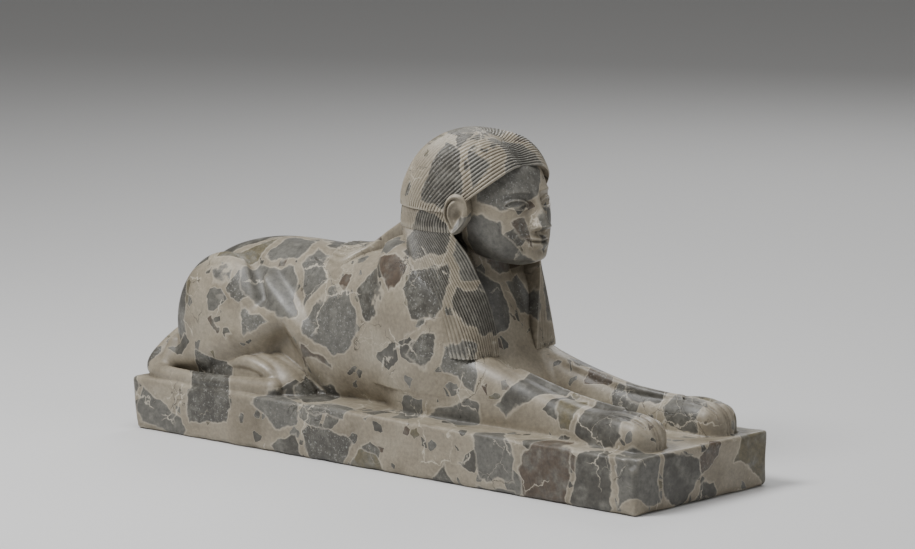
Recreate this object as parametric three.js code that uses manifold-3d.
// A recumbent sphinx on its plinth, carved from one block of breccia: a lion's body, a human head in a long
// combed wig that ends in two lappets on the chest and a tongue of hair on the back, and the tail laid round
// the right haunch. Millimetres, +Z up, +X the way the figure faces, origin in the middle of the underside.
import * as THREE from "three";
import { mergeVertices } from "three/addons/utils/BufferGeometryUtils.js";
import Module from "manifold-3d";

const wasm = await Module();
wasm.setup();

// ---------------------------------------------------------------- driving sizes
const LENGTH = 470; // over the plinth's top
const MIDDLE = -2; // the plinth's middle, in the x that the figure is measured in
const WIDTH = 140;
const PLINTH = 37.5; // the plinth's height
const REAR_LEAN = 6; // the rear face leans out by this much from bottom to top
const SUNK = 10; // how far the figure's forms reach into the plinth
const HEAD_TOP = 232;
const SIDES = [1, -1]; // left, right

// ---------------------------------------------------------------- smooth profiles
// One named size of a profile at a place between its stations, on a smooth curve through them.
function along(profile, name, at) {
  const last = profile.length - 1;
  let i = 0;
  while (i < last - 1 && at > profile[i + 1].at) i++;
  const slope = (j) => {
    const before = profile[Math.max(j - 1, 0)];
    const after = profile[Math.min(j + 1, last)];
    return (after[name] - before[name]) / (after.at - before.at);
  };
  const span = profile[i + 1].at - profile[i].at;
  const t = THREE.MathUtils.clamp((at - profile[i].at) / span, 0, 1);
  const ease = t * t * (3 - 2 * t);
  const bend = (1 - t) * slope(i) - t * slope(i + 1);
  return profile[i][name] * (1 - ease) + profile[i + 1][name] * ease + span * t * (1 - t) * bend;
}

const bell = (offset, spread) => Math.exp(-0.5 * (offset / spread) ** 2);
const power = (value, exponent) => Math.sign(value) * Math.abs(value) ** exponent;

// How much of its full section a form keeps at a distance from its rounded end.
function roundedEnd(distance, radius) {
  const short = Math.max(0, 1 - distance / radius);
  return Math.sqrt(Math.max(0, 1 - short * short));
}

// ---------------------------------------------------------------- closed skins
// A closed surface over rings of points with the same count. A ring of one repeated point closes an end.
function skin(rings) {
  const count = rings[0].length;
  const index = [];
  for (let r = 0; r < rings.length - 1; r++) {
    for (let c = 0; c < count; c++) {
      const a = r * count + c;
      const b = r * count + ((c + 1) % count);
      index.push(a, b, a + count, b, b + count, a + count);
    }
  }
  const geometry = new THREE.BufferGeometry().setFromPoints(rings.flat());
  geometry.setIndex(index);
  return geometry;
}

// A geometry as a solid: vertices merged, flat triangles dropped, faces turned outwards.
function solid(geometry) {
  const bare = new THREE.BufferGeometry();
  bare.setAttribute("position", geometry.getAttribute("position"));
  if (geometry.index) bare.setIndex(geometry.index);
  const merged = mergeVertices(bare, 1e-3);
  const corners = [];
  const index = merged.index.array;
  for (let i = 0; i < index.length; i += 3) {
    const [a, b, c] = index.slice(i, i + 3);
    if (a !== b && b !== c && c !== a) corners.push([a, b, c]);
  }
  const make = (faces) =>
    new wasm.Manifold(
      new wasm.Mesh({
        numProp: 3,
        vertProperties: merged.getAttribute("position").array,
        triVerts: new Uint32Array(faces.flat()),
      }),
    );
  const made = make(corners);
  return made.volume() > 0 ? made : make(corners.map(([a, b, c]) => [a, c, b]));
}

// Places of the rings of a form between two ends, closer together near the ends.
function stops(from, to, rings) {
  const gather = 0.7;
  return Array.from({ length: rings + 1 }, (_, k) => {
    const u = k / rings;
    return from + (to - from) * (u - (gather * Math.sin(2 * Math.PI * u)) / (2 * Math.PI));
  });
}

// A form with a rounded section at each place along its length. section(at) gives its middle (two numbers),
// its two half sizes and its squareness; place(at, p, q) turns a point of the section into space.
function form({ from, to, rings, columns, section, place, ends, shape = (point) => point }) {
  const skins = stops(from, to, rings).map((at) => {
    const { middle, half, square } = section(at);
    const keep = roundedEnd(Math.abs(at - from), ends[0]) * roundedEnd(Math.abs(to - at), ends[1]);
    return Array.from({ length: columns }, (_, c) => {
      const turn = (2 * Math.PI * c) / columns;
      const p = middle[0] + half[0] * keep * power(Math.cos(turn), 2 / square);
      const q = middle[1] + half[1] * keep * power(Math.sin(turn), 2 / square);
      return keep > 0 ? shape(place(at, p, q)) : place(at, ...middle);
    });
  });
  return solid(skin(skins));
}

// A form along X: a profile's `y` is its middle, `half` its half width, `top` its height at each x.
function lengthwise(profile, options) {
  return form({
    from: profile[0].at,
    to: profile[profile.length - 1].at,
    section: (x) => {
      const top = along(profile, "top", x);
      const floor = options.floor ?? PLINTH - SUNK;
      return {
        middle: [along(profile, "y", x), (top + floor) / 2],
        half: [along(profile, "half", x), (top - floor) / 2],
        square: options.square,
      };
    },
    place: (x, y, z) => new THREE.Vector3(x, y, z),
    ...options,
  });
}

// A form along Z: a profile's `x` is its middle, `deep` and `wide` its half sizes at each z.
function upright(profile, options) {
  return form({
    from: profile[0].at,
    to: profile[profile.length - 1].at,
    section: (z) => ({
      middle: [along(profile, "x", z), 0],
      half: [along(profile, "deep", z), along(profile, "wide", z)],
      square: options.square,
    }),
    place: (z, x, y) => new THREE.Vector3(x, y, z),
    ...options,
  });
}

// A round limb along a smooth path, with a radius at each of the path's points.
function limb(points, radii, rings, columns) {
  const path = new THREE.CatmullRomCurve3(points.map((p) => new THREE.Vector3(...p)));
  const radius = (u) => {
    const place = u * (radii.length - 1);
    const i = Math.min(Math.floor(place), radii.length - 2);
    return THREE.MathUtils.lerp(radii[i], radii[i + 1], place - i);
  };
  const skins = stops(0, 1, rings).map((u) => {
    const middle = path.getPoint(u);
    const ahead = path.getTangent(u);
    const side = new THREE.Vector3(-ahead.y, ahead.x, 0).normalize();
    const over = new THREE.Vector3().crossVectors(ahead, side);
    const fromEnd = Math.min(u, 1 - u) * path.getLength();
    const r = radius(u) * roundedEnd(fromEnd, radius(u));
    return Array.from({ length: columns }, (_, c) => {
      const turn = (2 * Math.PI * c) / columns;
      const rim = middle.clone().addScaledVector(side, r * Math.cos(turn));
      return rim.addScaledVector(over, r * Math.sin(turn));
    });
  });
  return solid(skin(skins));
}

// A smooth rounded mass given by its middle and its three half sizes, leaning forward by an angle.
function mass([x, y, z], [long, wide, high], { lean = 0, square = 2 } = {}) {
  const geometry = new THREE.SphereGeometry(1, 18, 10);
  const points = geometry.getAttribute("position");
  for (let i = 0; i < points.array.length; i++) points.array[i] = power(points.array[i], 2 / square);
  geometry.scale(long, wide, high);
  geometry.rotateY(lean);
  geometry.translate(x, y, z);
  return solid(geometry);
}

// ---------------------------------------------------------------- plinth
// A block with worn edges, whose rear face leans out towards the top.
function plinth() {
  const wear = 2;
  const corner = 4;
  const [x, y] = [LENGTH / 2 - wear, WIDTH / 2 - wear];
  const outline = new THREE.Shape();
  outline.moveTo(-x + corner, -y);
  outline.lineTo(x - corner, -y);
  outline.quadraticCurveTo(x, -y, x, -y + corner);
  outline.lineTo(x, y - corner);
  outline.quadraticCurveTo(x, y, x - corner, y);
  outline.lineTo(-x + corner, y);
  outline.quadraticCurveTo(-x, y, -x, y - corner);
  outline.lineTo(-x, -y + corner);
  outline.quadraticCurveTo(-x, -y, -x + corner, -y);
  const block = new THREE.ExtrudeGeometry(outline, {
    depth: PLINTH - 2 * wear,
    curveSegments: 3,
    bevelSize: wear,
    bevelThickness: wear,
    bevelSegments: 1,
  });
  block.translate(0, 0, wear);
  const corners = block.getAttribute("position");
  for (let i = 0; i < corners.count; i++) {
    const lean = REAR_LEAN * (1 - corners.getZ(i) / PLINTH);
    corners.setX(i, corners.getX(i) + MIDDLE + (corners.getX(i) < 0 ? lean : 0));
  }
  return solid(block);
}

// ---------------------------------------------------------------- lion's body
const TRUNK = [
  { at: -224, y: 0, top: 104, half: 36 },
  { at: -200, y: 0, top: 125.5, half: 43 },
  { at: -170, y: 0, top: 136.5, half: 45 },
  { at: -135, y: 0, top: 140, half: 43 },
  { at: -75, y: 0, top: 139.5, half: 43 },
  { at: -25, y: 0, top: 146, half: 46 },
  { at: 5, y: 0, top: 152, half: 49 },
  { at: 30, y: 0, top: 142, half: 50 },
  { at: 52, y: 0, top: 116, half: 45 },
  { at: 70, y: 0, top: 84, half: 36 },
  { at: 96, y: 0, top: 56, half: 25 },
];

const TRUNK_SQUARE = 2.4;

function trunk() {
  return lengthwise(TRUNK, { rings: 18, columns: 22, square: TRUNK_SQUARE, ends: [26, 12] });
}

// One hind leg: the big rounded thigh, the shin folded back under it, and the foot.
function hindLeg(side) {
  const foot = [
    { at: -178, y: side * 44, top: 50, half: 9 },
    { at: -150, y: side * 44, top: 60, half: 13 },
    { at: -125, y: side * 44, top: 64.5, half: 15 },
    { at: -102, y: side * 42, top: 59, half: 14 },
    { at: -80, y: side * 40, top: 47, half: 10 },
  ];
  const thigh = mass([-174, side * 34, 75], [51, 24, 51], { lean: 0.1 });
  const shin = [
    [-118, side * 40, 86],
    [-148, side * 44, 72],
    [-180, side * 45, 58],
    [-211, side * 44, 48],
  ];
  const toed = (point) => toes(point, side * 43, { start: -130, end: -108, apart: 8, deep: 2.6 });
  return thigh
    .add(limb(shin, [13, 13, 12, 9], 8, 10))
    .add(lengthwise(foot, { rings: 12, columns: 24, square: 2.3, ends: [10, 15], shape: toed }));
}

// Grooves between four toes, cut into the upper side of a paw from `start` forwards.
function toes(point, middle, { start, end, apart, deep }) {
  const reach = THREE.MathUtils.smoothstep(point.x, start, end);
  const across = point.y - middle;
  const groove = [-apart, 0, apart].reduce((sum, y) => sum + bell(across - y, 1.8), 0);
  const above = Math.max(0, point.z - PLINTH) > 0 ? 1 : 0;
  const cut = deep * reach * groove * above;
  return point.clone().add(new THREE.Vector3(-0.7 * cut, 0, -0.8 * cut));
}

const FORELEG = [
  { at: -22, y: 28, top: 84, half: 13 },
  { at: 15, y: 32, top: 97, half: 18 },
  { at: 48, y: 32, top: 96, half: 17.5 },
  { at: 78, y: 32, top: 82, half: 15 },
  { at: 110, y: 32, top: 71, half: 14 },
  { at: 145, y: 34, top: 62.5, half: 14 },
  { at: 175, y: 36, top: 59, half: 15.5 },
  { at: 202, y: 37, top: 61.5, half: 17.5 },
  { at: 226, y: 37, top: 58, half: 16.5 },
];

// One foreleg laid straight out, from the shoulder and the elbow to the paw's four toes.
function foreleg(side) {
  const shoulder = mass([25, side * 30, 92], [42, 19.5, 50], { square: 2.3 });
  const profile = FORELEG.map((station) => ({ ...station, y: side * station.y }));
  const toed = (point) => toes(point, side * 38, { start: 182, end: 206, apart: 9.5, deep: 3 });
  const leg = lengthwise(profile, { rings: 19, columns: 24, square: 2.4, ends: [32, 13], shape: toed });
  return leg.add(shoulder);
}

// The tail comes off the rump, drops to the plinth's rear edge and lies along the right haunch.
function tail() {
  const path = [
    [-214, 0, 76],
    [-225, -18, 66],
    [-228.5, -38, 55],
    [-227, -54, 46],
    [-213, -62, 43],
    [-185, -63, 42.5],
    [-150, -62, 42.5],
    [-106, -57, 42.5],
  ];
  return limb(path, [9, 8, 7.5, 7, 6.5, 6, 6.5, 8], 24, 8);
}

// ---------------------------------------------------------------- head
const FACE = {
  eye: { y: 14.5, z: 184, long: 9, high: 3.6 },
  brow: 192,
  noseTip: 169,
  noseBase: 165,
  mouth: 158,
  chin: 147,
};

const HEAD = [
  { at: 141, x: 76, deep: 13, wide: 11 },
  { at: 148, x: 67, deep: 24.5, wide: 19 },
  { at: 157, x: 59, deep: 33, wide: 26 },
  { at: 168, x: 52, deep: 39.5, wide: 31 },
  { at: 180, x: 49, deep: 42, wide: 34.5 },
  { at: 195, x: 46, deep: 42.5, wide: 35 },
  { at: 210, x: 42, deep: 38, wide: 32 },
  { at: 224, x: 38, deep: 28, wide: 24 },
];

// How far the face stands out at a height and a distance from the middle line, in millimetres.
function relief(y, z) {
  const off = Math.abs(y);
  const { eye } = FACE;
  const down = THREE.MathUtils.clamp((FACE.brow - z) / (FACE.brow - FACE.noseTip), 0, 1);
  const underNose = THREE.MathUtils.smoothstep(z, FACE.noseBase - 2.5, FACE.noseTip);
  const aboveNose = 1 - THREE.MathUtils.smoothstep(z, FACE.brow - 2, FACE.brow + 5);
  const ridge = (2 + 7 * down ** 1.3) * bell(off, 3.2 + 1.8 * down) * underNose * aboveNose;
  const wing = 3 * bell(off - 6, 2.2) * bell(z - 168, 2.6);
  const socket = -3.2 * bell(off - 13.5, 7.5) * bell(z - eye.z - 0.5, 5);
  const ball = 2.8 * bell(off - eye.y, 5.6) * bell(z - eye.z, 2.6);
  const browRidge = 1.3 * bell(z - FACE.brow - 0.5 + 0.012 * (off - 12) ** 2, 1.8) * bell(off - 15, 9);
  const cheek = 1.6 * bell(off - 19, 7) * bell(z - 171, 8);
  const upperLip = 2.6 * bell(z - FACE.mouth - 2.2, 1.6) * bell(off, 7.5);
  const lowerLip = 2.8 * bell(z - FACE.mouth + 2.6, 1.8) * bell(off, 6.5);
  const mound = 1.6 * bell(off, 12) * bell(z - FACE.mouth, 7);
  const chin = 2.4 * bell(off, 8) * bell(z - FACE.chin, 4.5);
  return ridge + wing + socket + ball + browRidge + cheek + upperLip + lowerLip + mound + chin;
}

function head() {
  const carve = (point) => {
    const front = THREE.MathUtils.smoothstep(point.x, 66, 84);
    return point.clone().setX(point.x + front * relief(point.y, point.z));
  };
  return upright(HEAD, { rings: 24, columns: 36, square: 2.25, ends: [6, 20], shape: carve });
}

function neck() {
  const profile = [
    { at: 70, x: 44, deep: 33, wide: 36 },
    { at: 95, x: 40, deep: 29, wide: 33 },
    { at: 122, x: 36, deep: 24, wide: 27 },
    { at: 140, x: 34, deep: 21, wide: 23 },
    { at: 158, x: 36, deep: 22, wide: 22 },
  ];
  return upright(profile, { rings: 6, columns: 18, square: 2, ends: [1, 1] });
}

// One ear, lying on the wig beside the temple, hollowed inside its rim.
function ear(side) {
  const shell = new THREE.SphereGeometry(1, 14, 8);
  shell.scale(9, 5, 14);
  const hollow = new THREE.SphereGeometry(1, 10, 6);
  hollow.scale(5.5, 3.5, 9);
  hollow.translate(1, side * 5, 1.5);
  const place = (geometry) => {
    geometry.rotateZ(side * -0.3);
    geometry.rotateY(-0.1);
    return geometry.translate(54, side * 40, 178);
  };
  return solid(place(shell)).subtract(solid(place(hollow)));
}

// ---------------------------------------------------------------- wig
const STRANDS = 24; // combed strands on each half
const STRAND_RELIEF = 0.55; // from the mean surface to a strand's crest
const CAP = { x: 36, z: 180, deep: 56.5, wide: 44.5, high: HEAD_TOP - 180, edge: 42.5, square: 2.05 };
const GROOVE = { deep: 5, wide: 0.13 }; // the parting between the two halves, over the front of the head
const PARTING = { front: 0.6, back: 2.1 }; // where strands leave the parting, as angles over the head

// The wig's outline below the cap: `edge` is how far the front edge lies from the middle line.
const FALL = [
  { at: 81, x: 48, deep: 24, wide: 48.5, edge: 16, square: 5 },
  { at: 100, x: 44, deep: 27, wide: 47.5, edge: 17.5, square: 4.2 },
  { at: 120, x: 40, deep: 30, wide: 46.5, edge: 22.5, square: 3.4 },
  { at: 140, x: 34, deep: 37, wide: 45, edge: 31, square: 2.8 },
  { at: 163, x: 31, deep: 50, wide: 43, edge: 40, square: 2.2 },
  { at: 180, x: CAP.x, deep: CAP.deep - 1.2, wide: CAP.wide - 1.2, edge: CAP.edge - 0.7, square: CAP.square },
];

// The strand at a share of the way from the front edge (0) to the middle of the back (1).
function fallPoint(z, share, side, proud) {
  const wide = along(FALL, "wide", z);
  const square = along(FALL, "square", z);
  const front = Math.asin(Math.min(1, along(FALL, "edge", z) / wide) ** (square / 2));
  const turn = THREE.MathUtils.lerp(front, Math.PI, share);
  const x = (along(FALL, "deep", z) + proud) * power(Math.cos(turn), 2 / square);
  const y = (wide + proud) * power(Math.sin(turn), 2 / square);
  return new THREE.Vector3(along(FALL, "x", z) + x, side * Math.abs(y), z);
}

function capPoint(drop, share, side, proud) {
  const edge = Math.asin((CAP.edge / CAP.wide) ** (CAP.square / 2));
  const turn = THREE.MathUtils.lerp(edge, Math.PI, share);
  const over = THREE.MathUtils.lerp(PARTING.front, PARTING.back, share);
  const start = new THREE.Vector3(Math.cos(over), 0, Math.sin(over));
  const end = new THREE.Vector3(Math.cos(turn), Math.sin(turn), 0);
  const between = start.angleTo(end);
  const way = start
    .multiplyScalar(Math.sin((1 - drop) * between))
    .addScaledVector(end, Math.sin(drop * between))
    .divideScalar(Math.sin(between));
  const bulge = 2 / (CAP.square + 0.5 * way.z * THREE.MathUtils.smoothstep(way.x, -0.3, 0.4));
  const ahead = THREE.MathUtils.smoothstep(way.x, -0.1, 0.5);
  const size = proud - GROOVE.deep * ahead * bell(way.y, GROOVE.wide);
  return new THREE.Vector3(
    CAP.x + (CAP.deep + size) * power(way.x, bulge),
    side * (CAP.wide + size) * Math.abs(power(way.y, bulge)),
    CAP.z + (CAP.high + size) * power(way.z, bulge),
  );
}

// One ring of the wig: both halves from the front edge to the back, then across behind the face.
function wigRing(pointAt, depth) {
  const halves = SIDES.map((side) =>
    Array.from({ length: 2 * STRANDS + 1 }, (_, c) => {
      const proud = c % 2 ? STRAND_RELIEF : -STRAND_RELIEF;
      return pointAt(c / (2 * STRANDS), side, proud);
    }),
  );
  const [left, right] = halves;
  const behind = [-1, -0.5, 0.5, 1].map((across) =>
    right[0].clone().setY(across * left[0].y).add(new THREE.Vector3(-depth, 0, 0)),
  );
  return [...left, ...right.slice(0, -1).reverse(), ...behind];
}

function wig() {
  const rings = [];
  const rows = 6;
  for (let row = 0; row <= rows; row++) {
    const drop = row / rows;
    rings.push(wigRing((share, side, proud) => capPoint(drop, share, side, drop ? proud : 0), 14 * drop));
  }
  for (const z of [180, 166, 165.5, 148, 130, 106, 81]) {
    const tier = z > 165.8 ? 0.8 : 0;
    rings.push(wigRing((share, side, proud) => fallPoint(z, share, side, proud + tier), 14));
  }
  const middle = new THREE.Vector3(45, 0, 81);
  rings.push(rings[rings.length - 1].map(() => middle));
  return solid(skin(rings));
}

// The height of the trunk's surface at a place on its back.
function backHeight(x, y) {
  const floor = PLINTH - SUNK;
  const half = (along(TRUNK, "top", x) - floor) / 2;
  const across = Math.min(1, Math.abs(y) / along(TRUNK, "half", x));
  return floor + half + half * (1 - across ** TRUNK_SQUARE) ** (1 / TRUNK_SQUARE);
}

// The tongue of hair that runs down from the nape and fans out over the lion's back.
function tongue() {
  const strands = 9;
  const thick = 2.2;
  const fan = [
    { at: -80, half: 27, lift: 0 },
    { at: -66, half: 29, lift: 0 },
    { at: -50, half: 18, lift: 2 },
    { at: -36, half: 11, lift: 10 },
    { at: -16, half: 11, lift: 18 },
    { at: 5, half: 11, lift: 18 },
  ];
  const rings = fan.map(({ at, half, lift }) => {
    const upper = Array.from({ length: 2 * strands + 1 }, (_, c) => {
      const y = (c / strands - 1) * half;
      const proud = thick + (c % 2 ? STRAND_RELIEF : -STRAND_RELIEF);
      return new THREE.Vector3(at - 0.2 * (half - Math.abs(y)), y, backHeight(at, y) + lift + proud);
    });
    return [...upper, new THREE.Vector3(at, half, 95), new THREE.Vector3(at, -half, 95)];
  });
  const close = (ring) => ring.map(() => new THREE.Vector3(ring[0].x, 0, 100));
  return solid(skin([close(rings[0]), ...rings, close(rings[rings.length - 1])]));
}

// ---------------------------------------------------------------- one block of stone
function sphinx() {
  const pieces = [trunk(), tail(), neck(), wig(), head(), tongue()];
  for (const side of SIDES) pieces.push(hindLeg(side), foreleg(side), ear(side));
  const stone = pieces.reduce((whole, piece) => whole.add(piece), plinth());
  const { vertProperties, triVerts } = stone.getMesh();
  const geometry = new THREE.BufferGeometry();
  geometry.setAttribute("position", new THREE.BufferAttribute(vertProperties, 3));
  geometry.setIndex(new THREE.BufferAttribute(triVerts, 1));
  geometry.translate(-MIDDLE, 0, 0);
  geometry.computeVertexNormals();
  const breccia = new THREE.MeshStandardMaterial({ color: 0x8c8371, roughness: 0.5, metalness: 0 });
  const mesh = new THREE.Mesh(geometry, breccia);
  mesh.name = "sphinx";
  return mesh;
}

const group = new THREE.Group();
group.add(sphinx());

export default group;
